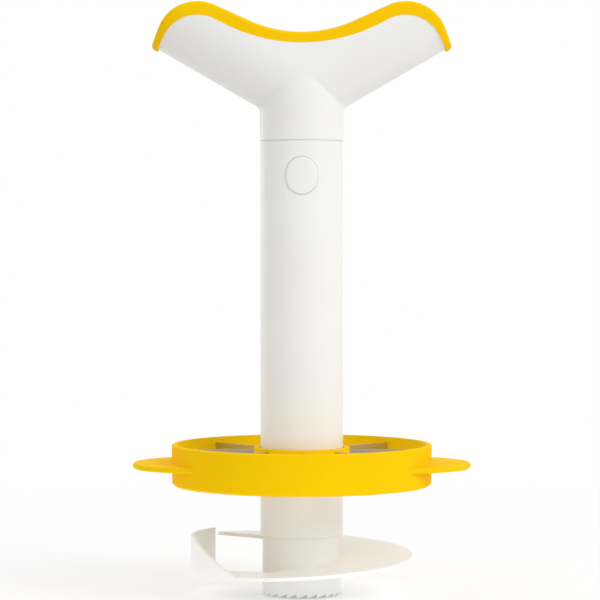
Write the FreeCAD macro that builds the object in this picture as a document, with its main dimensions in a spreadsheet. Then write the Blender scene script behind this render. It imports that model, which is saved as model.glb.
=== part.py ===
"""Pineapple slicer: a corer tube with a helical slicing blade, a two-armed handle and a sliding wedger.

Millimetres, +Z up along the tube, z = 0 at the tips of the coring teeth, and the front is -Y.
"""
import FreeCAD, Part
import math
import os
import Sketcher
from FreeCAD import Placement, Rotation, Vector

doc = FreeCAD.newDocument("PineappleSlicer")

# Driving sizes, in millimetres and degrees
SIZES = [
    ("tube_radius", 16.6, "outside of the corer tube"),
    ("tube_wall", 2.0, "wall of the corer tube"),
    ("tube_top", 181.6, "height of the tube's upper rim"),
    ("tube_lead", 0.6, "chamfer inside the upper rim"),
    ("core_radius", 13.4, "bore of the nose, which cuts the fruit's core"),
    ("core_land", 27.0, "height where that bore opens into the tube"),
    ("nose_radius", 15.8, "toothed nose below the blade"),
    ("nose_top", 23.4, "height where the nose widens into the tube"),
    ("nose_bevel", 3.0, "height of the bevel inside the teeth"),
    ("tooth_count", 24, "saw teeth round the nose"),
    ("tooth_depth", 1.6, "tip to root"),
    ("tooth_edge", 0.6, "thickness left at a tooth's tip"),
    ("blade_radius", 44.5, "outside of the slicing blade"),
    ("blade_pitch", 14.8, "rise in one turn, which sets the slice"),
    ("blade_foot", 5.8, "height of the blade's leading edge"),
    ("blade_start_angle", 145.0, "direction of the leading edge"),
    ("blade_thickness", 1.4, "flight of the blade"),
    ("blade_root", 1.2, "depth that the flight reaches into the nose"),
    ("blade_edge", 0.3, "thickness of the leading edge"),
    ("edge_angle", 12.0, "slope of the leading edge's bevel"),
    ("knife_wall", 1.2, "thickness of the upright rim knife"),
    ("knife_top", 23.8, "height of the rim knife's upper edge"),
    ("knife_level_angle", 52.6, "sweep of the knife's level part"),
    ("knife_sweep_angle", 89.8, "sweep of the whole knife"),
    ("wedger_level", 52.1, "height of the wedger's middle"),
    ("ring_radius", 52.2, "wedger ring's outside at its upper rim"),
    ("ring_draft", 0.2, "how much the ring narrows towards its foot"),
    ("ring_wall", 2.2, "wall of the wedger ring"),
    ("ring_height", 16.3, "height of the wedger ring"),
    ("ring_corner", 0.9, "chamfer of the ring's lower outer corner"),
    ("ring_lip", 0.5, "chamfer of the ring's upper outer corner"),
    ("ear_thickness", 2.2, "finger ears"),
    ("ear_drop", 0.3, "ears' middle below the ring's middle"),
    ("ear_centre", 39.2, "centre of an ear's outer arc, from the axis"),
    ("ear_radius", 28.6, "ear's outer arc"),
    ("ear_blend", 32.0, "hollow arc between an ear and the ring"),
    ("ear_sink", 0.6, "depth of an ear's root in the ring"),
    ("ear_edge", 0.6, "chamfer of an ear's edges"),
    ("collar_gap", 0.6, "wedger hub's clearance on the tube"),
    ("collar_wall", 2.0, "wall of the wedger hub"),
    ("collar_height", 14.0, "height of the wedger hub"),
    ("collar_lead", 0.8, "chamfer inside the hub's foot"),
    ("strip_count", 8, "wedger blades"),
    ("strip_thickness", 0.6, "steel of a wedger blade"),
    ("strip_height", 12.0, "height of a wedger blade"),
    ("strip_bevel", 1.6, "height of the ground edge"),
    ("strip_edge", 0.12, "thickness left at the ground edge"),
    ("slot_depth", 1.0, "how deep a blade sits in the ring and the hub"),
    ("joint_gap", 0.05, "gap round parts that are joined for good"),
    ("parting_gap", 0.2, "line between the tube's rim and the neck"),
    ("neck_radius", 16.8, "outside of the handle's neck"),
    ("neck_length", 13.0, "neck's foot to the arms' lower corner"),
    ("shell_wall", 2.2, "wall of the handle shell"),
    ("arm_depth", 17.0, "half the arms' thickness, front to back"),
    ("arm_round", 22.0, "height of the arms' rounded underside, square to the arm"),
    ("arm_keel", 14.0, "radius along the bottom of the arms' underside"),
    ("arm_angle", 30.0, "rise of the arms' underside"),
    ("seat_rise", 25.2, "arms' lower corner to the middle of the saddle"),
    ("seat_angle", 27.0, "steepest slope of the shell's saddle"),
    ("lobe_rise", 10.9, "middle of the saddle to the top of a lobe"),
    ("lobe_offset", 41.2, "axis to the top of a lobe"),
    ("lobe_radius", 15.5, "rounding of a lobe"),
    ("lobe_end_angle", 60.0, "slope of the shell's saddle at the arm's tip"),
    ("cavity_reach", 51.0, "axis to the end of the hollow in an arm"),
    ("pad_seat", 4.3, "grip pad's thickness in the middle"),
    ("pad_lobe", 5.5, "grip pad's thickness on a lobe"),
    ("pad_round", 1.5, "how much the pad's lobe radius exceeds the shell's"),
    ("pad_angle", 24.5, "steepest slope of the pad's saddle"),
    ("pad_end_angle", 66.0, "slope of the pad at the arm's tip"),
    ("pad_hang", 1.1, "how far the pad laps below the arm's tip"),
    ("insert_thickness", 2.2, "plate under the grip pad"),
    ("insert_gap", 0.15, "clearance of that plate in the shell's mouth"),
    ("boss_radius", 3.4, "screw bosses under the plate"),
    ("screw_spread", 6.5, "axis to each screw"),
    ("screw_radius", 1.5, "screw shank"),
    ("screw_bite", 7.0, "length of thread in a boss"),
    ("screw_gap", 0.1, "clearance round a screw shank"),
    ("head_radius", 2.8, "screw head"),
    ("head_height", 1.8, "screw head"),
    ("plug_gap", 0.2, "plug's clearance in the tube"),
    ("plug_wall", 2.0, "wall of the plug"),
    ("plug_reach", 31.6, "plug's length inside the tube"),
    ("plug_height", 23.2, "neck's foot to the plug's top"),
    ("plug_lead", 0.8, "chamfer at the plug's foot"),
    ("button_drop", 14.2, "neck's foot down to the buttons' middle"),
    ("button_width", 6.2, "half the width of a release button"),
    ("button_height", 7.4, "half the height of a release button"),
    ("button_proud", 0.3, "how far a button stands out of the tube"),
    ("button_gap", 0.2, "clearance of a button in the tube's window"),
    ("button_seat", 8.0, "axis to a button's inner face"),
    ("flange_lap", 1.4, "how far a button's flange laps behind the plug's wall"),
    ("flange_gap", 0.2, "flange to the plug's inner wall"),
    ("stud_radius", 1.6, "stud that holds the spring's leg"),
    ("stud_length", 2.4, "stud that holds the spring's leg"),
    ("spring_leaf", 0.5, "steel of the leaf spring"),
    ("spring_width", 6.0, "width of the leaf spring"),
    ("spring_gap", 0.05, "leaf spring to a button and its stud"),
    ("spring_rise", 4.4, "buttons' middle up to the ends of the spring's legs"),
    ("spring_drop", 7.4, "buttons' middle down to the centre of the spring's bend"),
]

sheet = doc.addObject("Spreadsheet::Sheet", "Sizes")
for row, (alias, value, meaning) in enumerate(SIZES, start=1):
    sheet.set(f"A{row}", meaning)
    sheet.set(f"B{row}", str(value))
    sheet.setAlias(f"B{row}", alias)
doc.recompute()

# Heights and radii that follow from the driving sizes, as expressions
TUBE_BORE = "(Sizes.tube_radius - Sizes.tube_wall)"
NECK_FOOT = "(Sizes.tube_top + Sizes.parting_gap)"
VALLEY = f"({NECK_FOOT} + Sizes.neck_length - Sizes.neck_radius * tan(Sizes.arm_angle))"
SEAT = f"({NECK_FOOT} + Sizes.neck_length + Sizes.seat_rise)"
LOBE = f"({SEAT} + Sizes.lobe_rise)"
PLUG_RADIUS = f"({TUBE_BORE} - Sizes.plug_gap)"
PLUG_BORE = f"({PLUG_RADIUS} - Sizes.plug_wall)"
PLUG_TOP = f"({NECK_FOOT} + Sizes.plug_height)"
BUTTON_LEVEL = f"({NECK_FOOT} - Sizes.button_drop)"
COLLAR_BORE = "(Sizes.tube_radius + Sizes.collar_gap)"
COLLAR_RADIUS = f"({COLLAR_BORE} + Sizes.collar_wall)"
RING_BORE = "(Sizes.ring_radius - Sizes.ring_wall)"

UP = Vector(0, 0, 1)
RIGHT = Vector(1, 0, 0)
TO_FRONT = Vector(0, -1, 0)
FRONT_VIEW = Rotation(RIGHT, 90)


def size(name):
    """One driving size as a number."""
    return float(sheet.get(name))


def bind(thing, **expressions):
    """Ties properties to the sheet; a double underscore in a name stands for a dot."""
    for name, expression in expressions.items():
        thing.setExpression(name.replace("__", "."), expression)
    return thing


def new_body(label):
    body = doc.addObject("PartDesign::Body", label)
    body.Label = label
    return body


def plane_sketch(body, name, role, lift=None):
    """A sketch on one of the body's own origin planes, lifted along its normal."""
    sketch = body.newObject("Sketcher::SketchObject", name)
    plane = next(item for item in body.Origin.OriginFeatures if item.Role == role)
    sketch.AttachmentSupport = [(plane, "")]
    sketch.MapMode = "FlatFace"
    if lift:
        bind(sketch, AttachmentOffset__Base__z=lift)
    return sketch


def front_sketch(name, ahead="0"):
    """A free sketch in the front view, ahead of the axis: its own x and y are the part's X and Z."""
    sketch = doc.addObject("Sketcher::SketchObject", name)
    sketch.Placement = Placement(Vector(), FRONT_VIEW)
    bind(sketch, Placement__Base__y=f"-({ahead})")
    return sketch


def dimension(sketch, kind, places, expression, start=1.0):
    """A constraint whose value comes from the sheet."""
    number = sketch.addConstraint(Sketcher.Constraint(kind, *places, start))
    sketch.setExpression(f"Constraints[{number}]", expression)


def polygon(sketch, corners):
    """A closed outline of straight lines through corners, each a pair of expressions."""
    count = len(corners)
    turn = math.tau / count
    start = [Vector(math.cos(turn * i), math.sin(turn * i), 0) for i in range(count)]
    sides = [
        sketch.addGeometry(Part.LineSegment(start[i], start[(i + 1) % count]), False) for i in range(count)
    ]
    for i, (across, along) in enumerate(corners):
        sketch.addConstraint(Sketcher.Constraint("Coincident", sides[i], 2, sides[(i + 1) % count], 1))
        dimension(sketch, "DistanceX", (-1, 1, sides[i], 1), across)
        dimension(sketch, "DistanceY", (-1, 1, sides[i], 1), along)


def circle(sketch, radius, across="0", along="0"):
    number = sketch.addGeometry(Part.Circle(Vector(), UP, 1.0), False)
    dimension(sketch, "Radius", (number,), radius)
    dimension(sketch, "DistanceX", (-1, 1, number, 3), across)
    dimension(sketch, "DistanceY", (-1, 1, number, 3), along)


def button_oval(sketch, gap):
    """A release button's outline, wider by gap: two half circles joined by short upright sides."""
    wide, rise, middle = size("button_width"), size("button_height"), size("tube_top")
    upper, lower = middle + rise, middle - rise
    curves = [
        Part.ArcOfCircle(Part.Circle(Vector(0, upper, 0), UP, wide), 0, math.pi),
        Part.LineSegment(Vector(-wide, upper, 0), Vector(-wide, lower, 0)),
        Part.ArcOfCircle(Part.Circle(Vector(0, lower, 0), UP, wide), math.pi, math.tau),
        Part.LineSegment(Vector(wide, lower, 0), Vector(wide, upper, 0)),
    ]
    top, left, bottom, right = [sketch.addGeometry(curve, False) for curve in curves]
    constrain = Sketcher.Constraint
    sketch.addConstraint(
        [
            constrain("Tangent", top, 2, left, 1),
            constrain("Tangent", left, 2, bottom, 1),
            constrain("Tangent", bottom, 2, right, 1),
            constrain("Tangent", right, 2, top, 1),
            constrain("Equal", top, bottom),
            constrain("PointOnObject", top, 3, -2),
            constrain("PointOnObject", bottom, 3, -2),
        ]
    )
    centre = "(Sizes.button_height - Sizes.button_width)"
    dimension(sketch, "Radius", (top,), f"Sizes.button_width + {gap}", wide)
    dimension(sketch, "DistanceY", (-1, 1, top, 3), f"{BUTTON_LEVEL} + {centre}", upper)
    dimension(sketch, "DistanceY", (-1, 1, bottom, 3), f"{BUTTON_LEVEL} - {centre}", lower)


def turn_profile(body, name, corners):
    """A solid of revolution about Z from a profile of radius and height."""
    sketch = plane_sketch(body, name + "_profile", "XZ_Plane")
    polygon(sketch, corners)
    turned = body.newObject("PartDesign::Revolution", name)
    turned.Profile = sketch
    turned.ReferenceAxis = (sketch, ["V_Axis"])
    turned.Angle = 360
    return turned


def pad(body, name, sketch, length, midplane=False):
    feature = body.newObject("PartDesign::Pad", name)
    feature.Profile = sketch
    feature.Midplane = midplane
    bind(feature, Length=length)
    return feature


def pocket(body, name, sketch, length):
    """Cuts from the sketch against its normal."""
    feature = body.newObject("PartDesign::Pocket", name)
    feature.Profile = sketch
    bind(feature, Length=length)
    return feature


def pocket_through(body, name, sketch):
    """Cuts through the whole body, on both sides of the sketch."""
    feature = body.newObject("PartDesign::Pocket", name)
    feature.Profile = sketch
    feature.Type = "ThroughAll"
    feature.Midplane = True
    return feature


def round_the_axis(body, name, feature, count):
    """Repeats a feature round Z."""
    pattern = body.newObject("PartDesign::PolarPattern", name)
    pattern.Originals = [feature]
    axis = next(item for item in body.Origin.OriginFeatures if item.Role == "Z_Axis")
    pattern.Axis = (axis, [""])
    pattern.Angle = 360
    bind(pattern, Occurrences=count)
    body.Tip = pattern
    return pattern


def edges_where(feature, test):
    """Numbers of the feature's edges that pass the test."""
    return [number for number, edge in enumerate(feature.Shape.Edges, start=1) if test(edge)]


def combine(kind, name, base, tool):
    """Part::Cut or Part::Common of two shapes."""
    result = doc.addObject(f"Part::{kind}", name)
    result.Base = base
    result.Tool = tool
    return result


def fuse(name, shapes):
    result = doc.addObject("Part::MultiFuse", name)
    result.Shapes = shapes
    result.Refine = True
    return result


def extrude(name, base, direction, forward, backward=None):
    result = doc.addObject("Part::Extrusion", name)
    result.Base = base
    result.DirMode = "Custom"
    result.Dir = direction
    result.Solid = True
    bind(result, LengthFwd=forward)
    if backward:
        bind(result, LengthRev=backward)
    return result


def cylinder(name, radius, height, foot, across="0"):
    result = doc.addObject("Part::Cylinder", name)
    return bind(result, Radius=radius, Height=height, Placement__Base__z=foot, Placement__Base__x=across)


def both_sides(name, half):
    """The right half and its mirror image, joined."""
    mirror = doc.addObject("Part::Mirroring", name + "_left")
    mirror.Source = half
    mirror.Normal = RIGHT
    return fuse(name, [half, mirror])


# Corer: tube, toothed nose and helical blade in one moulding


def make_corer_tube():
    """The turned tube and nose, with saw teeth below and an oval window front and back above."""
    body = new_body("tube_and_nose")
    turned = turn_profile(
        body,
        "tube_turned",
        [
            ("Sizes.nose_radius - Sizes.tooth_edge", "0"),
            ("Sizes.nose_radius", "0"),
            ("Sizes.nose_radius", "Sizes.nose_top"),
            ("Sizes.tube_radius", "Sizes.nose_top + Sizes.tube_radius - Sizes.nose_radius"),
            ("Sizes.tube_radius", "Sizes.tube_top"),
            (f"{TUBE_BORE} + Sizes.tube_lead", "Sizes.tube_top"),
            (TUBE_BORE, "Sizes.tube_top - Sizes.tube_lead"),
            (TUBE_BORE, f"Sizes.core_land + {TUBE_BORE} - Sizes.core_radius"),
            ("Sizes.core_radius", "Sizes.core_land"),
            ("Sizes.core_radius", "Sizes.nose_bevel"),
        ],
    )
    # One notch rises gently from a tip to the root, then drops steeply to the next tip
    notch = plane_sketch(body, "tooth_notch", "XZ_Plane")
    half_period = "Sizes.nose_radius * sin(180 / Sizes.tooth_count)"
    polygon(
        notch,
        [
            (f"-{half_period}", "0"),
            (f"-{half_period}", "-Sizes.tooth_depth"),
            (half_period, "-Sizes.tooth_depth"),
            (half_period, "Sizes.tooth_depth"),
        ],
    )
    cut = pocket(body, "tooth_cut", notch, "Sizes.nose_radius + Sizes.tooth_depth")
    cut.Reversed = True
    doc.recompute()
    if cut.Shape.Volume >= turned.Shape.Volume:
        raise ValueError("the tooth notch cuts nothing")
    round_the_axis(body, "teeth", cut, "Sizes.tooth_count")
    window = plane_sketch(body, "button_window", "XZ_Plane")
    button_oval(window, "Sizes.button_gap")
    pocket_through(body, "button_windows", window)
    return body


def helix(name, radius, height, foot, start, pitch="Sizes.blade_pitch", falling=False):
    """A helix about Z that begins at height foot in direction start."""
    curve = doc.addObject("Part::Helix", name)
    curve.LocalCoord = 1 if falling else 0
    curve.SegmentLength = 0
    bind(curve, Radius=radius, Height=height, Pitch=pitch)
    bind(curve, Placement__Base__z=foot, Placement__Rotation__Angle=start)
    curve.Placement.Rotation.Axis = UP
    return curve


def spiral_slab(name, inner, outer, height, foot, start, thickness, **shape):
    """A solid between two helices: a level line swept round Z, then thickened upwards."""
    near = helix(name + "_near", inner, height, foot, start, **shape)
    away = helix(name + "_away", outer, height, foot, start, **shape)
    face = doc.addObject("Part::RuledSurface", name + "_face")
    face.Curve1 = (near, ["Edge1"])
    face.Curve2 = (away, ["Edge1"])
    return extrude(name, face, UP, thickness)


def make_flight():
    """One turn of helicoid, ground to a thin leading edge."""
    past_rim = "Sizes.blade_radius + Sizes.knife_wall"
    slab = spiral_slab(
        "flight_slab", "Sizes.nose_radius - Sizes.blade_root", past_rim, "Sizes.blade_pitch",
        "Sizes.blade_foot", "Sizes.blade_start_angle", "Sizes.blade_thickness",
    )
    bevel = doc.addObject("Part::Box", "edge_bevel")
    tilt = Rotation(RIGHT, size("edge_angle"))
    bevel.Placement = Placement(Vector(), Rotation(UP, size("blade_start_angle")) * tilt)
    bind(
        bevel,
        Length="2 * Sizes.blade_radius",
        Width="Sizes.blade_radius",
        Height="Sizes.blade_radius",
        Placement__Base__z="Sizes.blade_foot + Sizes.blade_edge",
    )
    return combine("Cut", "flight", slab, bevel)


def make_rim_knife():
    """The upright knife on the rim: level at first, then a straight slant down to the flight."""
    inner = "Sizes.blade_radius - Sizes.knife_wall"
    outer = "Sizes.blade_radius + Sizes.knife_wall"
    climb = "Sizes.blade_pitch * Sizes.knife_sweep_angle / 360"
    wall = spiral_slab(
        "knife_wall_slab", inner, outer, climb,
        "Sizes.blade_foot + Sizes.blade_edge / 2", "Sizes.blade_start_angle", "Sizes.knife_top",
    )
    lid = cylinder("knife_lid", "2 * Sizes.blade_radius", "2 * Sizes.knife_top", "Sizes.knife_top")
    level = combine("Cut", "knife_level_cut", wall, lid)
    # The slant's cutter starts one fall below the rim, so that it runs clear past it
    rim_at_end = f"(Sizes.blade_foot + {climb} + Sizes.blade_thickness)"
    fall = f"(Sizes.knife_top - {rim_at_end})"
    sweep = "(Sizes.knife_sweep_angle - Sizes.knife_level_angle)"
    knife_end = "(Sizes.blade_start_angle + Sizes.knife_sweep_angle)"
    slant = spiral_slab(
        "knife_slant_slab", f"{inner} - Sizes.knife_wall", f"{outer} + Sizes.knife_wall",
        f"3 * {fall}", f"{rim_at_end} - {fall}", f"{knife_end} + {sweep}",
        "Sizes.knife_top", pitch=f"{fall} * 360 / {sweep}", falling=True,
    )
    return combine("Cut", "rim_knife", level, slant)


def make_corer():
    blade = fuse("flight_and_knife", [make_flight(), make_rim_knife()])
    rim = cylinder("blade_rim", "Sizes.blade_radius", "Sizes.tube_top", "0")
    corer = fuse("corer", [make_corer_tube(), combine("Common", "helical_blade", blade, rim)])
    corer.Label = "corer"
    return corer


# Wedger


def make_wedger_ring():
    """The ring that is pushed down over the fruit, with two finger ears and slots for the blades."""
    body = new_body("wedger_ring")
    foot = "(Sizes.wedger_level - Sizes.ring_height / 2)"
    top = "(Sizes.wedger_level + Sizes.ring_height / 2)"
    foot_radius = "(Sizes.ring_radius - Sizes.ring_draft)"
    turn_profile(
        body,
        "ring_turned",
        [
            (RING_BORE, foot),
            (f"{foot_radius} - Sizes.ring_corner", foot),
            (foot_radius, f"{foot} + Sizes.ring_corner"),
            ("Sizes.ring_radius", f"{top} - Sizes.ring_lip"),
            ("Sizes.ring_radius - Sizes.ring_lip", top),
            (RING_BORE, top),
        ],
    )
    underside = "Sizes.wedger_level - Sizes.ear_drop - Sizes.ear_thickness / 2"
    outline = plane_sketch(body, "ear_outline", "XY_Plane", underside)
    ear_sketch(outline)
    ear = pad(body, "ear", outline, "Sizes.ear_thickness")
    both = round_the_axis(body, "ears", ear, "2")
    doc.recompute()
    reach = size("ring_radius") + size("ear_sink")
    span = size("ear_centre") + size("ear_radius")
    rims = edges_where(
        both,
        lambda edge: edge.BoundBox.ZLength < size("joint_gap")
        and reach < max(edge.BoundBox.XMax, -edge.BoundBox.XMin)
        and edge.BoundBox.XLength < span,
    )
    soft = body.newObject("PartDesign::Chamfer", "ear_edges")
    soft.Base = (both, [f"Edge{number}" for number in rims])
    bind(soft, Size="Sizes.ear_edge")

    slot = plane_sketch(body, "ring_slot", "YZ_Plane", f"{RING_BORE} + Sizes.slot_depth")
    slot_outline(slot)
    cut = pocket(body, "ring_slot_cut", slot, "2 * Sizes.slot_depth")
    round_the_axis(body, "ring_slots", cut, "Sizes.strip_count")
    return body


def ear_sketch(sketch):
    """Ear outline: an outer arc, a hollow arc on each side that meets the ring, and a root in its wall."""
    centre, reach, hollow = size("ear_centre"), size("ear_radius"), size("ear_blend")
    root = size("ring_radius") - size("ear_sink")
    behind = root - size("ring_wall") / 2
    # The hollow arc touches both the root circle and the outer arc from outside
    apart, span = root + hollow, reach + hollow
    across = (apart**2 - span**2 + centre**2) / (2 * centre)
    aside = math.sqrt(apart**2 - across**2)
    root_turn = math.atan2(aside, across)
    outer_turn = math.atan2(aside, across - centre)
    root_up = Vector(root * math.cos(root_turn), root * math.sin(root_turn), 0)
    root_down = Vector(root_up.x, -root_up.y, 0)
    shrink = behind / root
    curves = [
        Part.ArcOfCircle(Part.Circle(Vector(centre, 0, 0), UP, reach), -outer_turn, outer_turn),
        Part.ArcOfCircle(
            Part.Circle(Vector(across, aside, 0), UP, hollow), math.pi + root_turn, math.pi + outer_turn
        ),
        Part.ArcOfCircle(
            Part.Circle(Vector(across, -aside, 0), UP, hollow), math.pi - outer_turn, math.pi - root_turn
        ),
        Part.LineSegment(root_up, root_up * shrink),
        Part.LineSegment(root_down, root_down * shrink),
        Part.ArcOfCircle(Part.Circle(Vector(), UP, behind), -root_turn, root_turn),
    ]
    tip, upper, lower, side_up, side_down, inner = [sketch.addGeometry(curve, False) for curve in curves]
    constrain = Sketcher.Constraint
    sketch.addConstraint(
        [
            constrain("PointOnObject", tip, 3, -1),
            constrain("Tangent", tip, 2, upper, 2),
            constrain("Tangent", tip, 1, lower, 1),
            constrain("Equal", upper, lower),
            constrain("Coincident", upper, 1, side_up, 1),
            constrain("Coincident", lower, 2, side_down, 1),
            constrain("PointOnObject", -1, 1, side_up),
            constrain("PointOnObject", -1, 1, side_down),
            constrain("PointOnObject", upper, 3, side_up),
            constrain("PointOnObject", lower, 3, side_down),
            constrain("Coincident", inner, 3, -1, 1),
            constrain("Coincident", inner, 2, side_up, 2),
            constrain("Coincident", inner, 1, side_down, 2),
        ]
    )
    dimension(sketch, "DistanceX", (-1, 1, tip, 3), "Sizes.ear_centre", centre)
    dimension(sketch, "Radius", (tip,), "Sizes.ear_radius", reach)
    dimension(sketch, "Radius", (upper,), "Sizes.ear_blend", hollow)
    root_radius = "Sizes.ring_radius - Sizes.ear_sink"
    dimension(sketch, "Radius", (inner,), f"{root_radius} - Sizes.ring_wall / 2", behind)
    for side in (side_up, side_down):
        dimension(sketch, "Distance", (-1, 1, side, 1), root_radius, root)


def slot_outline(sketch):
    """A blade's slot, seen along the blade."""
    half = "(Sizes.strip_thickness / 2 + Sizes.joint_gap)"
    foot = "Sizes.wedger_level - Sizes.strip_height / 2 - Sizes.joint_gap"
    top = "Sizes.wedger_level + Sizes.strip_height / 2 + Sizes.joint_gap"
    polygon(sketch, [(f"-{half}", foot), (half, foot), (half, top), (f"-{half}", top)])


def make_wedger_hub():
    """The sleeve that guides the wedger on the tube."""
    body = new_body("wedger_hub")
    foot = "(Sizes.wedger_level - Sizes.collar_height / 2)"
    top = "(Sizes.wedger_level + Sizes.collar_height / 2)"
    turn_profile(
        body,
        "hub_turned",
        [
            (COLLAR_BORE, f"{foot} + Sizes.collar_lead"),
            (f"{COLLAR_BORE} + Sizes.collar_lead", foot),
            (COLLAR_RADIUS, foot),
            (COLLAR_RADIUS, top),
            (COLLAR_BORE, top),
        ],
    )
    slot = plane_sketch(body, "hub_slot", "YZ_Plane", f"{COLLAR_RADIUS} + Sizes.slot_depth")
    slot_outline(slot)
    cut = pocket(body, "hub_slot_cut", slot, "2 * Sizes.slot_depth")
    round_the_axis(body, "hub_slots", cut, "Sizes.strip_count")
    return body


def make_wedger_blade(number):
    """One steel strip, ground along its lower edge, from the hub's slot to the ring's."""
    body = new_body(f"wedger_blade_{number}")
    inner_end = f"({COLLAR_RADIUS} - Sizes.slot_depth + Sizes.joint_gap)"
    outer_end = f"({RING_BORE} + Sizes.slot_depth - Sizes.joint_gap)"
    section = plane_sketch(body, f"strip_section_{number}", "YZ_Plane", inner_end)
    half, edge = "Sizes.strip_thickness / 2", "Sizes.strip_edge / 2"
    foot = "Sizes.wedger_level - Sizes.strip_height / 2"
    top = "Sizes.wedger_level + Sizes.strip_height / 2"
    polygon(
        section,
        [
            (f"-{edge}", foot),
            (edge, foot),
            (half, f"{foot} + Sizes.strip_bevel"),
            (half, top),
            (f"-{half}", top),
            (f"-{half}", f"{foot} + Sizes.strip_bevel"),
        ],
    )
    pad(body, f"strip_{number}", section, f"{outer_end} - {inner_end}")
    body.Placement.Rotation.Axis = UP
    bind(body, Placement__Rotation__Angle=f"{number - 1} * 360 / Sizes.strip_count")
    return body


# Handle


def saddle_profile(name, seat, lobe, radius, slope, flank, foot):
    """The right half of a saddle in the front view: a hollow arc, a slope, a lobe and a flank."""
    sketch = front_sketch(name)
    level, offset, bend = size("tube_top"), size("lobe_offset"), size("lobe_radius")
    bottom = level - offset
    tilt, drop = math.radians(size(slope)), math.radians(size(flank))
    centre = Vector(offset, level + size("lobe_rise") - bend, 0)
    leave = centre + Vector(-math.sin(tilt), math.cos(tilt), 0) * bend
    hollow = (leave.y - level - leave.x * math.tan(tilt)) / (1 - 1 / math.cos(tilt))
    meet = Vector(hollow * math.sin(tilt), level + hollow * (1 - math.cos(tilt)), 0)
    turn = centre + Vector(math.sin(drop), math.cos(drop), 0) * bend
    end = Vector(turn.x + (turn.y - bottom) / math.tan(drop), bottom, 0)
    right = math.pi / 2
    curves = [
        Part.ArcOfCircle(Part.Circle(Vector(0, level + hollow, 0), UP, hollow), 3 * right, 3 * right + tilt),
        Part.LineSegment(meet, leave),
        Part.ArcOfCircle(Part.Circle(centre, UP, bend), right - drop, right + tilt),
        Part.LineSegment(turn, end),
        Part.LineSegment(end, Vector(0, bottom, 0)),
        Part.LineSegment(Vector(0, bottom, 0), Vector(0, level, 0)),
    ]
    arc, ramp, top, side, base, middle = [sketch.addGeometry(curve, False) for curve in curves]
    constrain = Sketcher.Constraint
    sketch.addConstraint(
        [
            constrain("PointOnObject", arc, 3, -2),
            constrain("Tangent", arc, 2, ramp, 1),
            constrain("Tangent", ramp, 2, top, 2),
            constrain("Tangent", top, 1, side, 1),
            constrain("Coincident", side, 2, base, 1),
            constrain("Coincident", base, 2, middle, 1),
            constrain("Coincident", middle, 2, arc, 1),
            constrain("Horizontal", base),
            constrain("PointOnObject", middle, 1, -2),
            constrain("PointOnObject", middle, 2, -2),
        ]
    )
    dimension(sketch, "DistanceY", (-1, 1, arc, 1), seat, level)
    dimension(sketch, "Radius", (top,), radius, bend)
    dimension(sketch, "DistanceX", (-1, 1, top, 3), "Sizes.lobe_offset", offset)
    dimension(sketch, "DistanceY", (-1, 1, top, 3), f"{lobe} - ({radius})", centre.y)
    dimension(sketch, "Angle", (ramp,), f"Sizes.{slope}", tilt)
    dimension(sketch, "Angle", (side,), f"-Sizes.{flank}", -drop)
    dimension(sketch, "DistanceY", (-1, 1, base, 1), foot, bottom)
    return sketch


def saddle_block(name, profile, lift="0"):
    """The right half under a saddle, carried front to back."""
    block = extrude(name, profile, TO_FRONT, "Sizes.tube_top", "Sizes.tube_top")
    return bind(block, Placement__Base__z=lift)


def shell_saddle(name, lift="0"):
    """The right half of everything below the shell's saddle, moved up by lift."""
    profile = saddle_profile(
        name + "_profile", SEAT, LOBE, "Sizes.lobe_radius", "seat_angle", "lobe_end_angle", NECK_FOOT
    )
    return saddle_block(name, profile, lift)


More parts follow.
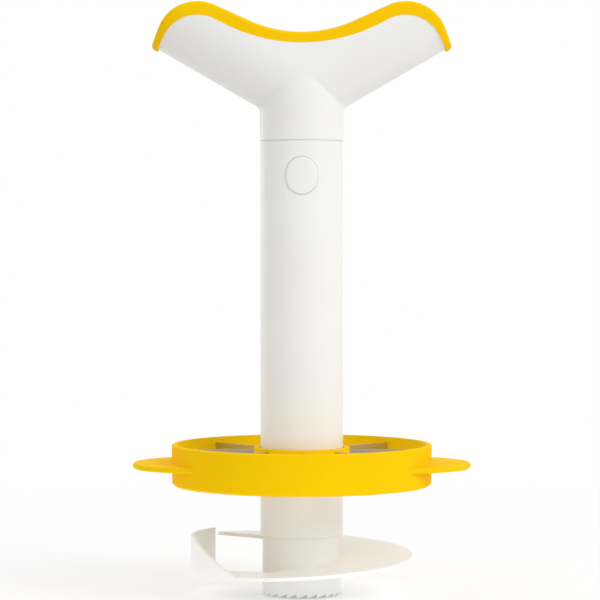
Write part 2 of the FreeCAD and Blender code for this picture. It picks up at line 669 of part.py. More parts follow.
def arm_block(name, inset, reach, drop="0"):
    """The right arm: a section with a round underside and upright sides, carried out at the arm's slope."""
    sketch = doc.addObject("Sketcher::SketchObject", name + "_section")
    lean = Rotation(Vector(0, 1, 0), -size("arm_angle"))
    sketch.Placement = Placement(Vector(), lean * Rotation(Vector(1, 1, 1), 120))
    bind(sketch, Placement__Base__z=f"{VALLEY} - ({drop})")
    wide, rise, keel = size("arm_depth"), size("arm_round"), size("arm_keel")
    top_level = rise + size("seat_rise")
    flank = (wide**2 + (rise - keel) ** 2 - keel**2) / (2 * (wide - keel))
    turn = math.atan2(rise - keel, flank - wide)
    curves = [
        Part.ArcOfCircle(Part.Circle(Vector(0, keel, 0), UP, keel), math.pi + turn, math.tau - turn),
        Part.ArcOfCircle(Part.Circle(Vector(wide - flank, rise, 0), UP, flank), -turn, 0),
        Part.LineSegment(Vector(wide, rise, 0), Vector(wide, top_level, 0)),
        Part.LineSegment(Vector(wide, top_level, 0), Vector(-wide, top_level, 0)),
        Part.LineSegment(Vector(-wide, top_level, 0), Vector(-wide, rise, 0)),
        Part.ArcOfCircle(Part.Circle(Vector(flank - wide, rise, 0), UP, flank), math.pi, math.pi + turn),
    ]
    bottom, far_arc, far_side, top, near_side, near_arc = [sketch.addGeometry(c, False) for c in curves]
    constrain = Sketcher.Constraint
    sketch.addConstraint(
        [
            constrain("PointOnObject", bottom, 3, -2),
            constrain("Tangent", bottom, 2, far_arc, 1),
            constrain("Tangent", far_arc, 2, far_side, 1),
            constrain("Coincident", far_side, 2, top, 1),
            constrain("Coincident", top, 2, near_side, 1),
            constrain("Tangent", near_side, 2, near_arc, 1),
            constrain("Tangent", near_arc, 2, bottom, 1),
            constrain("Vertical", far_side),
            constrain("Vertical", near_side),
            constrain("Horizontal", top),
        ]
    )
    half = f"(Sizes.arm_depth - ({inset}))"
    dimension(sketch, "DistanceY", (-1, 1, bottom, 3), "Sizes.arm_keel", keel)
    dimension(sketch, "Radius", (bottom,), f"Sizes.arm_keel - ({inset})", keel)
    dimension(sketch, "DistanceX", (-1, 1, far_side, 1), half, wide)
    dimension(sketch, "DistanceX", (-1, 1, near_side, 1), f"-{half}", -wide)
    dimension(sketch, "DistanceY", (-1, 1, far_side, 1), "Sizes.arm_round", rise)
    dimension(sketch, "DistanceY", (-1, 1, far_side, 2), "Sizes.arm_round + Sizes.seat_rise", top_level)
    block = extrude(name, sketch, RIGHT, f"({reach}) / cos(Sizes.arm_angle)")
    return bind(block, Dir__x="cos(Sizes.arm_angle)", Dir__z="sin(Sizes.arm_angle)")


def make_handle_shell():
    """The white moulding: two arms with a shared round underside and a round neck, hollow and open on top."""
    whole_arm = arm_block("arm", "0", "2 * Sizes.lobe_offset")
    arm = combine("Common", "arm_half", whole_arm, shell_saddle("arm_limit"))
    neck_top = f"({VALLEY} + Sizes.arm_round / cos(Sizes.arm_angle))"
    neck = cylinder("neck", "Sizes.neck_radius", f"{neck_top} - {NECK_FOOT}", NECK_FOOT)
    outside = fuse("shell_outside", [both_sides("arms", arm), neck])
    hollow = arm_block("hollow", "Sizes.shell_wall", "Sizes.cavity_reach")
    half_space = doc.addObject("Part::Box", "right_half")
    bind(
        half_space,
        Length="2 * Sizes.lobe_offset",
        Width="2 * Sizes.lobe_offset",
        Height="2 * Sizes.tube_top",
        Placement__Base__y="-Sizes.lobe_offset",
    )
    cavity = both_sides("cavity", combine("Common", "cavity_half", hollow, half_space))
    socket = cylinder("plug_socket", f"{PLUG_RADIUS} + Sizes.joint_gap", "Sizes.plug_height", NECK_FOOT)
    shell = combine("Cut", "handle_shell", outside, fuse("shell_inside", [cavity, socket]))
    shell.Label = "handle_shell"
    return shell


def make_grip_insert():
    """The stiff plate that closes the shell's mouth and carries the screw bosses."""
    under_pad = "-Sizes.joint_gap"
    middle = f"{under_pad} - Sizes.insert_thickness / 2"
    underside = f"{under_pad} - Sizes.insert_thickness"
    top, bottom = shell_saddle("insert_top", under_pad), shell_saddle("insert_under", underside)
    band = combine("Cut", "insert_band", top, bottom)
    inset = "Sizes.shell_wall + Sizes.insert_gap"
    mouth = arm_block("insert_mouth", inset, "Sizes.cavity_reach - Sizes.insert_gap")
    plate = both_sides("insert_plate", combine("Common", "insert_half", mouth, band))
    boss = cylinder(
        "boss", "Sizes.boss_radius", "Sizes.seat_rise", f"{PLUG_TOP} + Sizes.joint_gap", "Sizes.screw_spread"
    )
    bosses = both_sides("bosses", combine("Common", "boss_trimmed", boss, shell_saddle("boss_limit", middle)))
    hole = cylinder(
        "boss_hole", "Sizes.screw_radius + Sizes.screw_gap", "Sizes.screw_bite + Sizes.screw_radius",
        PLUG_TOP, "Sizes.screw_spread",
    )
    solid = fuse("insert_solid", [plate, bosses])
    insert = combine("Cut", "grip_insert", solid, both_sides("boss_holes", hole))
    insert.Label = "grip_insert"
    return insert


def make_grip_pad():
    """The soft yellow saddle that covers the shell's rim and the plate."""
    neck_corner = f"{NECK_FOOT} + Sizes.neck_length"
    run = "(Sizes.lobe_offset + Sizes.lobe_radius - Sizes.neck_radius)"
    profile = saddle_profile(
        "pad_profile", f"{SEAT} + Sizes.pad_seat", f"{LOBE} + Sizes.pad_lobe",
        "(Sizes.lobe_radius + Sizes.pad_round)", "pad_angle", "pad_end_angle",
        f"{neck_corner} + {run} * tan(Sizes.arm_angle)",
    )
    top = saddle_block("pad_top", profile)
    band = combine("Cut", "pad_band", top, shell_saddle("pad_seat", "Sizes.joint_gap"))
    sides = arm_block("pad_sides", "0", "2 * Sizes.lobe_offset", "Sizes.pad_hang")
    grip = both_sides("grip_pad", combine("Common", "pad_half", sides, band))
    grip.Label = "grip_pad"
    return grip


# Latch


def make_latch_plug():
    """The spigot under the neck that enters the tube, with a window for each release button."""
    body = new_body("latch_plug")
    foot = "(Sizes.tube_top - Sizes.plug_reach)"
    ceiling = f"{PLUG_TOP} - Sizes.plug_wall"
    turn_profile(
        body,
        "plug_turned",
        [
            (PLUG_BORE, foot),
            (f"{PLUG_RADIUS} - Sizes.plug_lead", foot),
            (PLUG_RADIUS, f"{foot} + Sizes.plug_lead"),
            (PLUG_RADIUS, PLUG_TOP),
            ("0", PLUG_TOP),
            ("0", ceiling),
            (PLUG_BORE, ceiling),
        ],
    )
    window = plane_sketch(body, "plug_window", "XZ_Plane")
    button_oval(window, "Sizes.button_gap")
    pocket_through(body, "plug_windows", window)
    holes = plane_sketch(body, "screw_holes", "XY_Plane", f"{PLUG_TOP} + Sizes.plug_wall")
    for side in ("-1", "1"):
        circle(holes, "Sizes.screw_radius + Sizes.screw_gap", f"{side} * Sizes.screw_spread")
    pocket(body, "screw_hole_cut", holes, "3 * Sizes.plug_wall")
    return body


def make_plug_screw(label, side):
    """A flat-headed screw that draws the plug, the shell and the plate together."""
    body = new_body(label)
    seat = f"({PLUG_TOP} - Sizes.plug_wall - Sizes.joint_gap)"
    tip = f"{PLUG_TOP} + Sizes.screw_bite"
    turn_profile(
        body,
        f"{label}_turned",
        [
            ("0", f"{seat} - Sizes.head_height"),
            ("Sizes.head_radius", f"{seat} - Sizes.head_height"),
            ("Sizes.head_radius", seat),
            ("Sizes.screw_radius", seat),
            ("Sizes.screw_radius", tip),
            ("0", tip),
        ],
    )
    return bind(body, Placement__Base__x=f"{side} * Sizes.screw_spread")


def make_button(label, turn):
    """A release button: a head in the tube's window, a square flange behind the plug's wall and a stud."""
    outline = front_sketch(f"{label}_outline", "Sizes.button_seat")
    button_oval(outline, "0")
    bar = extrude(f"{label}_bar", outline, TO_FRONT, "Sizes.tube_radius")
    face = cylinder(f"{label}_face", "Sizes.tube_radius + Sizes.button_proud", "Sizes.tube_top", "0")
    head = combine("Common", f"{label}_head", bar, face)
    half_width = "(Sizes.button_width + Sizes.button_gap + Sizes.flange_lap)"
    half_height = "(Sizes.button_height + Sizes.button_gap + Sizes.flange_lap)"
    plate = doc.addObject("Part::Box", f"{label}_plate")
    bind(
        plate,
        Length=f"2 * {half_width}",
        Width="Sizes.tube_radius",
        Height=f"2 * {half_height}",
        Placement__Base__x=f"-{half_width}",
        Placement__Base__y="-Sizes.button_seat - Sizes.tube_radius",
        Placement__Base__z=f"{BUTTON_LEVEL} - {half_height}",
    )
    inside = cylinder(f"{label}_inside", f"{PLUG_BORE} - Sizes.flange_gap", "Sizes.tube_top", "0")
    flange = combine("Common", f"{label}_flange", plate, inside)
    stud = doc.addObject("Part::Cylinder", f"{label}_stud")
    stud.Placement = Placement(Vector(), FRONT_VIEW)
    bind(
        stud,
        Radius="Sizes.stud_radius",
        Height="Sizes.stud_length + Sizes.button_gap",
        Placement__Base__y="Sizes.stud_length - Sizes.button_seat",
        Placement__Base__z=BUTTON_LEVEL,
    )
    button = fuse(label, [head, flange, stud])
    button.Label = label
    button.Placement = Placement(Vector(), Rotation(UP, turn))
    return button


def make_latch_spring():
    """A bent steel leaf between the buttons: two legs on the studs and a round bend below."""
    body = new_body("latch_spring")
    outline = plane_sketch(body, "leaf_outline", "YZ_Plane")
    outer, inner = size("button_seat"), size("button_seat") - size("spring_leaf")
    middle = size("tube_top")
    end = middle + size("spring_rise")
    curves = [
        Part.ArcOfCircle(Part.Circle(Vector(0, middle, 0), UP, outer), math.pi, math.tau),
        Part.LineSegment(Vector(outer, middle, 0), Vector(outer, end, 0)),
        Part.LineSegment(Vector(outer, end, 0), Vector(inner, end, 0)),
        Part.LineSegment(Vector(inner, end, 0), Vector(inner, middle, 0)),
        Part.ArcOfCircle(Part.Circle(Vector(0, middle, 0), UP, inner), math.pi, math.tau),
        Part.LineSegment(Vector(-inner, middle, 0), Vector(-inner, end, 0)),
        Part.LineSegment(Vector(-inner, end, 0), Vector(-outer, end, 0)),
        Part.LineSegment(Vector(-outer, end, 0), Vector(-outer, middle, 0)),
    ]
    bend, far, far_end, far_back, hollow, near_back, near_end, near = [
        outline.addGeometry(curve, False) for curve in curves
    ]
    constrain = Sketcher.Constraint
    outline.addConstraint(
        [
            constrain("PointOnObject", bend, 3, -2),
            constrain("Coincident", bend, 3, hollow, 3),
            constrain("Tangent", bend, 2, far, 1),
            constrain("Coincident", far, 2, far_end, 1),
            constrain("Coincident", far_end, 2, far_back, 1),
            constrain("Tangent", far_back, 2, hollow, 2),
            constrain("Tangent", hollow, 1, near_back, 1),
            constrain("Coincident", near_back, 2, near_end, 1),
            constrain("Coincident", near_end, 2, near, 1),
            constrain("Tangent", near, 2, bend, 1),
            constrain("Vertical", far),
            constrain("Vertical", near),
            constrain("Horizontal", far_end),
            constrain("Horizontal", near_end),
        ]
    )
    reach = "(Sizes.button_seat - Sizes.spring_gap)"
    ends = f"{BUTTON_LEVEL} + Sizes.spring_rise"
    dimension(outline, "Radius", (bend,), reach, outer)
    dimension(outline, "Radius", (hollow,), f"{reach} - Sizes.spring_leaf", inner)
    dimension(outline, "DistanceY", (-1, 1, bend, 3), f"{BUTTON_LEVEL} - Sizes.spring_drop", middle)
    dimension(outline, "DistanceY", (-1, 1, far, 2), ends, end)
    dimension(outline, "DistanceY", (-1, 1, near_end, 2), ends, end)
    pad(body, "leaf", outline, "Sizes.spring_width", midplane=True)
    hole = plane_sketch(body, "stud_hole", "XZ_Plane")
    circle(hole, "Sizes.stud_radius + Sizes.spring_gap", along=BUTTON_LEVEL)
    pocket_through(body, "stud_holes", hole)
    return body


pieces = [
    make_corer(),
    make_wedger_ring(),
    make_wedger_hub(),
    *[make_wedger_blade(number) for number in range(1, int(size("strip_count")) + 1)],
    make_handle_shell(),
    make_grip_insert(),
    make_grip_pad(),
    make_latch_plug(),
    make_plug_screw("right_screw", "1"),
    make_plug_screw("left_screw", "-1"),
    make_button("front_button", 0),
    make_button("rear_button", 180),
    make_latch_spring(),
]
doc.recompute()

for item in doc.Objects:
    if "Invalid" in item.State or "Error" in item.State:
        raise ValueError(f"{item.Label} failed: {item.State}")
for piece in pieces:
    if piece.Shape.isNull() or not piece.Shape.isValid():
        raise ValueError(f"{piece.Label} has no valid shape")

os.makedirs("parts", exist_ok=True)
for piece in pieces:
    piece.Shape.exportStep(f"parts/{piece.Label}.step")
    print(f"{piece.Label}: {len(piece.Shape.Solids)} solid, {piece.Shape.Volume:.0f} mm3")
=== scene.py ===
"""Pineapple slicer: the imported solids, dressed and lit for the photograph's view. Metres, +Z up."""
import math

import bmesh
import bpy
import numpy as np
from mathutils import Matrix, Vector


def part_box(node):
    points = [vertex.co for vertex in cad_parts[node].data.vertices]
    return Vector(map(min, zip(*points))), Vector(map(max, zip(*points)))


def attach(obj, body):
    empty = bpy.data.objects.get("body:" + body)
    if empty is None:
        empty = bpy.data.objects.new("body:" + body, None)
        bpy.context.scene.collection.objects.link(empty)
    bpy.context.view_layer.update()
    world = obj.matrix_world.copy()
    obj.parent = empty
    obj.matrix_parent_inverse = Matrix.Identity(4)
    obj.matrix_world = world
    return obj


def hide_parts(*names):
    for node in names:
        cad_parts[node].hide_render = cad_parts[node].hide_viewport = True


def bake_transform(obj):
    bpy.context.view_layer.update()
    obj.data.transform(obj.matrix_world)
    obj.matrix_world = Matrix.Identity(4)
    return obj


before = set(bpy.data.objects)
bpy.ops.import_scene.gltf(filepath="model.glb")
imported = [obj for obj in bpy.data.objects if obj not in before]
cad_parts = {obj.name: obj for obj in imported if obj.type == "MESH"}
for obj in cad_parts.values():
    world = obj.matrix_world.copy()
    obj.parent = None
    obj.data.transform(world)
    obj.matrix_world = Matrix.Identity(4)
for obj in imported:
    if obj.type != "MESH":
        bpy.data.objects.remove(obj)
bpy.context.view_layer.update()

# Corer
# One injection moulding in white ABS: tube, toothed nose and helical blade. A polished tool
# leaves it glossy, with the faint waviness of a thick moulding and the marks of washing.


def linear(code):
    """An sRGB hex colour as the linear numbers that a shader takes."""
    parts = [int(code[i : i + 2], 16) / 255 for i in (1, 3, 5)]
    parts = [part / 12.92 if part <= 0.04045 else ((part + 0.055) / 1.055) ** 2.4 for part in parts]
    return parts + [1.0]


def add(tree, kind, inputs=None, **settings):
    """Adds a shader node; an input is a value, or a socket to link from."""
    node = tree.nodes.new("ShaderNode" + kind)
    for name, value in settings.items():
        setattr(node, name, value)
    for name, value in (inputs or {}).items():
        if isinstance(value, bpy.types.NodeSocket):
            tree.links.new(value, node.inputs[name])
        else:
            node.inputs[name].default_value = value
    return node


def new_material(name):
    """An empty material, its tree and the object's own coordinates in metres."""
    material = bpy.data.materials.new(name)
    material.use_nodes = True
    tree = material.node_tree
    tree.nodes.clear()
    place = add(tree, "TexCoord").outputs["Object"]
    return material, tree, place


def pigment(tree, place, first, second, patch, detail):
    """A plastic's slightly uneven colour: two shades, each (share, hex code), in patches in metres."""
    shade = add(tree, "TexNoise", {"Vector": place, "Scale": 1 / patch, "Detail": detail})
    tone = add(tree, "ValToRGB", {"Fac": shade.outputs["Fac"]})
    for stop, (share, code) in zip(tone.color_ramp.elements, (first, second)):
        stop.position = share
        stop.color = linear(code)
    return tone.outputs["Color"]


def relief(tree, place, spacing, detail, strength, depth):
    """A moulded surface's unevenness: its spacing and its depth, in metres."""
    height = add(tree, "TexNoise", {"Vector": place, "Scale": 1 / spacing, "Detail": detail})
    bump = add(tree, "Bump", {"Height": height.outputs["Fac"], "Strength": strength, "Distance": depth})
    return bump.outputs["Normal"]


def finish_surface(tree, shader):
    """Links the last shader to the material's output."""
    add(tree, "OutputMaterial", {"Surface": shader.outputs[0]})


def dress(material, *names):
    """Gives CAD nodes a material."""
    for name in names:
        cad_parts[name].material_slots[0].material = material


white_abs, tree, place = new_material("abs_white_polished_moulding")
colour = pigment(tree, place, (0.35, "#F3F2EF"), (0.7, "#F6F6F4"), patch=0.045, detail=2.0)
# Orange-peel waves 3 mm long and microns deep, from the thick wall's shrinkage
WAVE_LENGTH = 0.003
waves = relief(tree, place, WAVE_LENGTH, detail=1.0, strength=0.25, depth=0.00002)
# Rubbing marks along the tube, finer than a hair in truth and drawn 0.4 mm apart so that they show
stretch = add(tree, "Mapping", {"Vector": place, "Scale": (1.0, 1.0, 0.05)})
marks = {"Vector": stretch.outputs["Vector"], "Scale": 1 / 0.0004, "Detail": 3.0}
rubbed = add(tree, "TexNoise", marks).outputs["Fac"]
span = {"Value": rubbed, "From Min": 0.3, "From Max": 0.8, "To Min": 0.29, "To Max": 0.33}
gloss = add(tree, "MapRange", span)
shader = add(
    tree, "BsdfPrincipled",
    {
        "Base Color": colour,
        "Roughness": gloss.outputs["Result"],
        "IOR": 1.53,
        "Specular IOR Level": 0.3,
        "Normal": waves,
    },
)
finish_surface(tree, shader)
dress(white_abs, "corer")

# Wedger
# The ring with its finger ears and the hub are one yellow ABS; the eight blades are ground
# steel strip, pressed into slots in both.

# A deep, even yellow from a matt tool, with hardly a shine
yellow_abs, tree, place = new_material("abs_yellow_moulding")
colour = pigment(tree, place, (0.3, "#FFCC00"), (0.75, "#FFD000"), patch=0.033, detail=2.0)
waves = relief(tree, place, WAVE_LENGTH, detail=1.0, strength=0.25, depth=0.00003)
shader = add(
    tree, "BsdfPrincipled",
    {
        "Base Color": colour,
        "Roughness": 0.7,
        "IOR": 1.53,
        "Specular IOR Level": 0.05,
        "Normal": waves,
    },
)
finish_surface(tree, shader)
dress(yellow_abs, "wedger_ring", "wedger_hub")

# A bright grey, streaked by grinding along each strip's height; the lines are drawn 0.3 mm apart,
# coarser than the grit leaves them, so that they show
blade_steel, tree, place = new_material("stainless_strip_ground")
lines = add(tree, "Mapping", {"Vector": place, "Scale": (1.0, 1.0, 0.04)})
grind = {"Vector": lines.outputs["Vector"], "Scale": 1 / 0.0003, "Detail": 2.0}
ground = add(tree, "TexNoise", grind).outputs["Fac"]
streak = add(tree, "MapRange", {"Value": ground, "To Min": 0.22, "To Max": 0.45})
shader = add(
    tree, "BsdfPrincipled",
    {"Base Color": linear("#C9C9CC"), "Metallic": 1.0, "Roughness": streak.outputs["Result"]},
)
finish_surface(tree, shader)
BLADE_COUNT = 8
dress(blade_steel, *[f"wedger_blade_{number}" for number in range(1, BLADE_COUNT + 1)])

# Handle shell
# White ABS, moulded in one piece: two arms over a round neck. Where they meet, the mould leaves
# a small hollow radius, widest in the corners under the arms.

shell_low, shell_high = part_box("handle_shell")
NECK_RADIUS = 0.0168
NECK_LENGTH = 0.0130  # foot to the arms' lower corner
ARM_SLOPE = math.radians(30)
ARM_CORNER = shell_low[2] + NECK_LENGTH
ARM_VALLEY = ARM_CORNER - NECK_RADIUS * math.tan(ARM_SLOPE)
KEEL_RADIUS = 0.0140  # along the bottom of the underside
ARM_ROUND = 0.0220  # height of the rounded underside, square to the arm
ARM_HALF_DEPTH = shell_high[1]
FLANK_RADIUS = (ARM_HALF_DEPTH**2 + (ARM_ROUND - KEEL_RADIUS) ** 2 - KEEL_RADIUS**2) / (
    2 * (ARM_HALF_DEPTH - KEEL_RADIUS)
)
FLANK_INSET = FLANK_RADIUS - ARM_HALF_DEPTH
KEEL_ENDS = math.cos(math.atan2(ARM_ROUND - KEEL_RADIUS, FLANK_INSET))
FILLET_AT_CORNER, FILLET_AT_PEAK = 0.0030, 0.0012
FILLET_STEPS = 8
SINK = 0.0004  # how far an added piece reaches into the wall that carries it
TURN_STEPS = 240

dress(white_abs, "handle_shell")


def link_piece(name, mesh):
    """An object in the scene with smooth faces and its edges sharp from 35 degrees on."""
    mesh.shade_smooth()
    mesh.set_sharp_from_angle(angle=math.radians(35))
    piece = bpy.data.objects.new(name, mesh)
    bpy.context.scene.collection.objects.link(piece)
    return piece


def solid_from_rings(name, rings, material):
    """A closed mesh through rings of equal count; rings that shrink to a line close its ends."""
    count = len(rings[0])
    faces = []
    for row in range(len(rings) - 1):
        low, high = row * count, (row + 1) * count
        for i in range(count):
            after = (i + 1) % count
            faces.append((low + i, low + after, high + after, high + i))
    mesh = bpy.data.meshes.new(name)
    mesh.from_pydata([tuple(point) for ring in rings for point in ring], [], faces)
    work = bmesh.new()
    work.from_mesh(mesh)
    bmesh.ops.remove_doubles(work, verts=work.verts, dist=2e-6)
    bmesh.ops.dissolve_degenerate(work, edges=work.edges, dist=1e-7)
    bmesh.ops.recalc_face_normals(work, faces=work.faces)
    work.to_mesh(mesh)
    work.free()
    mesh.materials.append(material)
    return link_piece(name, mesh)


def underside(y, swell):
    """The arms' underside at y, a distance swell outside it: height above the keel and its normal."""
    across = abs(y)
    if across < (KEEL_RADIUS + swell) * KEEL_ENDS:
        middle, level, radius = 0.0, KEEL_RADIUS, KEEL_RADIUS + swell
    else:
        middle, level, radius = -FLANK_INSET, ARM_ROUND, FLANK_RADIUS + swell
    rise = level - math.sqrt(radius**2 - (across - middle) ** 2)
    return rise, math.copysign((across - middle) / radius, y), (rise - level) / radius


def fillet_ring(turn):
    """One section of the hollow radius between the neck and an arm, closed inside the wall."""
    radius = FILLET_AT_PEAK + (FILLET_AT_CORNER - FILLET_AT_PEAK) * math.cos(turn) ** 2
    out = Vector((math.cos(turn), math.sin(turn), 0))
    centre = out * (NECK_RADIUS + radius)
    rise, side, up = underside(centre.y, radius)
    centre.z = ARM_VALLEY + abs(centre.x) * math.tan(ARM_SLOPE) + rise / math.cos(ARM_SLOPE)
    lean = math.copysign(math.sin(ARM_SLOPE), centre.x)
    to_neck, to_arm = -out, -Vector((-up * lean, side, up * math.cos(ARM_SLOPE)))
    bend = to_neck.angle(to_arm)
    ring = []
    for step in range(FILLET_STEPS + 1):
        part = step / FILLET_STEPS
        near = math.sin((1 - part) * bend) / math.sin(bend)
        far = math.sin(part * bend) / math.sin(bend)
        ring.append(centre + radius * (near * to_neck + far * to_arm))
    corner = centre + radius * (to_neck + to_arm) / (1 + to_neck.dot(to_arm))
    inward = (to_neck + to_arm).normalized()
    return ring + [ring[-1] + SINK * to_arm, corner + SINK * inward, ring[0] + SINK * to_neck]


turns = [math.tau * step / TURN_STEPS for step in range(TURN_STEPS)]
rings = [fillet_ring(turn) for turn in turns]
fillet = solid_from_rings("neck_fillet", rings + rings[:1], white_abs)
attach(fillet, "handle")

# A low lip under the neck rests on the tube's rim, so that a shallow groove parts the two
LIP_GAP = 0.00002
LIP_FOOT, LIP_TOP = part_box("corer")[1][2] + LIP_GAP, shell_low[2] + SINK
TUBE_RADIUS, TUBE_WALL, GROOVE_DEPTH = 0.0166, 0.0020, 0.00035
LIP_OUTSIDE = TUBE_RADIUS - GROOVE_DEPTH
LIP_INSIDE = LIP_OUTSIDE - 0.75 * TUBE_WALL


def lip_ring(turn):
    """One section of the lip, a small rectangle."""
    corners = (
        (LIP_INSIDE, LIP_FOOT), (LIP_OUTSIDE, LIP_FOOT), (LIP_OUTSIDE, LIP_TOP), (LIP_INSIDE, LIP_TOP)
    )
    return [Vector((radius * math.cos(turn), radius * math.sin(turn), z)) for radius, z in corners]


rings = [lip_ring(turn) for turn in turns]
lip = solid_from_rings("neck_lip", rings + rings[:1], white_abs)
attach(lip, "handle")

# Grip pad
# Soft yellow TPE, moulded over the shell's rim and the plate inside it. Its lower edge is sharp
# against the white, and its upper edges are rounded for the palm.

# The spark-eroded mould's grain takes the shine off. It is drawn as pits 0.3 mm apart, coarser
# than the real ones, so that it shows
grip_tpe, tree, place = new_material("tpe_yellow_soft_grip")
colour = pigment(tree, place, (0.3, "#FFCA00"), (0.75, "#FFD000"), patch=0.025, detail=2.0)
grain = relief(tree, place, 0.0003, detail=2.0, strength=0.4, depth=0.00003)
shader = add(
    tree, "BsdfPrincipled",
    {
        "Base Color": colour,
        "Roughness": 0.7,
        "IOR": 1.5,
        "Specular IOR Level": 0.07,
        "Normal": grain,
    },
)
finish_surface(tree, shader)

SEAT_RISE = 0.0252  # the arms' lower corner to the middle of the saddle
LOBE_OFFSET = 0.0412
LOBE_RADIUS = 0.0155
PAD_THICKNESS = 0.0043  # in the middle
PAD_EDGE = 0.0015
PAD_TIP = 0.0012
PAD_HANG = 0.0011
PAD_STEPS = 72  # sections from the middle to a tip
DIP_POINTS, LOBE_POINTS = 40, 60  # along a saddle line
ROUNDING = np.linspace(0, math.pi / 2, 7)  # a rounded edge, in six steps


def saddle(middle, top, bend, slope, tip_slope):
    """The right half of a saddle line, seen from the front: a dip, a slope, a lobe and a flank."""
    slope, tip_slope = math.radians(slope), math.radians(tip_slope)
    centre = np.array([LOBE_OFFSET, top - bend])
    leave = centre + bend * np.array([-math.sin(slope), math.cos(slope)])
    hollow = (leave[1] - middle - leave[0] * math.tan(slope)) / (1 - 1 / math.cos(slope))
    line = []
    for turn in np.linspace(0, slope, DIP_POINTS):
        line.append((hollow * math.sin(turn), middle + hollow * (1 - math.cos(turn))))
    for turn in np.linspace(-slope, tip_slope, LOBE_POINTS):
        line.append((centre[0] + bend * math.sin(turn), centre[1] + bend * math.cos(turn)))
    past_keel = 0.03
    flank = past_keel * np.array([math.cos(tip_slope), -math.sin(tip_slope)])
    return np.array(line + [tuple(np.array(line[-1]) + flank)])


def above_keel(point):
    """Height over the pad's own keel line, square to the arm."""
    return (point[1] - ARM_VALLEY + PAD_HANG - point[0] * math.tan(ARM_SLOPE)) * math.cos(ARM_SLOPE)


def half_width(rise):
    """Half the arm's thickness, front to back, at a height above its keel."""
    junction = KEEL_RADIUS * (1 - math.sin(math.acos(KEEL_ENDS)))
    if rise >= ARM_ROUND:
        return ARM_HALF_DEPTH
    if rise >= junction:
        return math.sqrt(FLANK_RADIUS**2 - (ARM_ROUND - rise) ** 2) - FLANK_INSET
    return math.sqrt(max(0.0, KEEL_RADIUS**2 - (KEEL_RADIUS - rise) ** 2))


def cut_at_keel(line):
    """The line down to where it meets the keel, and its length so far at each point."""
    rises = [above_keel(point) for point in line]
    last = next(i for i, rise in enumerate(rises) if rise < 0)
    part = rises[last - 1] / (rises[last - 1] - rises[last])
    line = np.vstack([line[:last], line[last - 1] + part * (line[last] - line[last - 1])])
    return line, np.concatenate([[0], np.cumsum(np.linalg.norm(np.diff(line, axis=0), axis=1))])


def at_share(line, lengths, share):
    """The point at a share of a line's length."""
    return np.array([np.interp(share * lengths[-1], lengths, line[:, i]) for i in (0, 1)])


def pad_ring(low, high, tip_fall, side):
    """The pad's section between two points of its lower and upper lines, rounded at the top."""
    thick = np.linalg.norm(high - low)
    up = (high - low) / thick
    thick -= tip_fall

    def width_at(height):
        return half_width(max(0.0, above_keel(low + height * up)))

    # The rounding leaves at least half the height and a tenth of the half width
    edge = min(PAD_EDGE, 0.5 * thick, 0.9 * width_at(thick))
    shoulder = thick - edge
    half = [(width_at(shoulder * part), shoulder * part) for part in (0, 0.25, 0.5, 0.75)]
    for turn in ROUNDING:
        inset = edge * (1 - math.cos(turn))
        half.append((width_at(shoulder) - inset, shoulder + edge * math.sin(turn)))
    top = [(half[-1][0] * part, thick) for part in (0.75, 0.5, 0.25, 0, -0.25, -0.5, -0.75)]
    bottom = [(half[0][0] * part, 0) for part in (-0.6, 0, 0.6)]
    section = half + top + [(-y, rise) for y, rise in reversed(half)] + bottom
    return [Vector((side * (low[0] + rise * up[0]), y, low[1] + rise * up[1])) for y, rise in section]


rim_middle, rim_top = ARM_CORNER + SEAT_RISE, shell_high[2]
rim, rim_lengths = cut_at_keel(saddle(rim_middle, rim_top, LOBE_RADIUS, slope=27, tip_slope=60))
crown_middle, crown_top = rim_middle + PAD_THICKNESS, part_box("grip_pad")[1][2]
crown, crown_lengths = cut_at_keel(
    saddle(crown_middle, crown_top, LOBE_RADIUS + PAD_EDGE, slope=24.5, tip_slope=66)
)
rings = []
for step in range(-PAD_STEPS, PAD_STEPS + 1):
    share = math.sin(abs(step) / PAD_STEPS * math.pi / 2)
    to_tip = min((1 - share) * crown_lengths[-1], PAD_TIP)
    tip_fall = PAD_TIP - math.sqrt(PAD_TIP**2 - (PAD_TIP - to_tip) ** 2)
    low, high = at_share(rim, rim_lengths, share), at_share(crown, crown_lengths, share)
    rings.append(pad_ring(low, high, tip_fall, -1 if step < 0 else 1))
pad = solid_from_rings("grip_pad_moulding", rings, grip_tpe)
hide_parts("grip_pad")
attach(pad, "handle")

# Release buttons
# White ABS, one in front and one behind, each a head in the tube's window, a flange behind the
# plug's wall and a stud for the spring. The head's face is flatter than the tube, round-edged.

button_low, button_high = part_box("front_button")
BUTTON_LEVEL = (button_low[2] + button_high[2]) / 2
BUTTON_HALF_WIDTH, BUTTON_HALF_HEIGHT = 0.00635, 0.00755
BUTTON_STRAIGHT = BUTTON_HALF_HEIGHT - BUTTON_HALF_WIDTH
FACE_OUT, FACE_CURVE, FACE_EDGE = -button_low[1], 0.0215, 0.00080
FLANGE_HALF_WIDTH, FLANGE_HALF_HEIGHT = button_high[0], button_high[2] - BUTTON_LEVEL
PLUG_WALL, FLANGE_GAP = 0.0020, 0.0002
FLANGE_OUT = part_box("latch_plug")[1][0] - PLUG_WALL - FLANGE_GAP
SEAT_DEPTH, STUD_RADIUS, STUD_END = 0.0080, 0.0016, -button_high[1]
HALF_TURN_STEPS = 24
half_turn = [math.pi * step / HALF_TURN_STEPS for step in range(HALF_TURN_STEPS + 1)]
around = [(turn, 1) for turn in half_turn] + [(math.pi + turn, -1) for turn in half_turn]


def button_outline(inset):
    """The head's oval, drawn in by inset, as rows of x and height."""
    radius = BUTTON_HALF_WIDTH - inset
    ring = []
    for turn, end in around:
        ring.append((radius * math.cos(turn), radius * math.sin(turn) + end * BUTTON_STRAIGHT))
    return ring


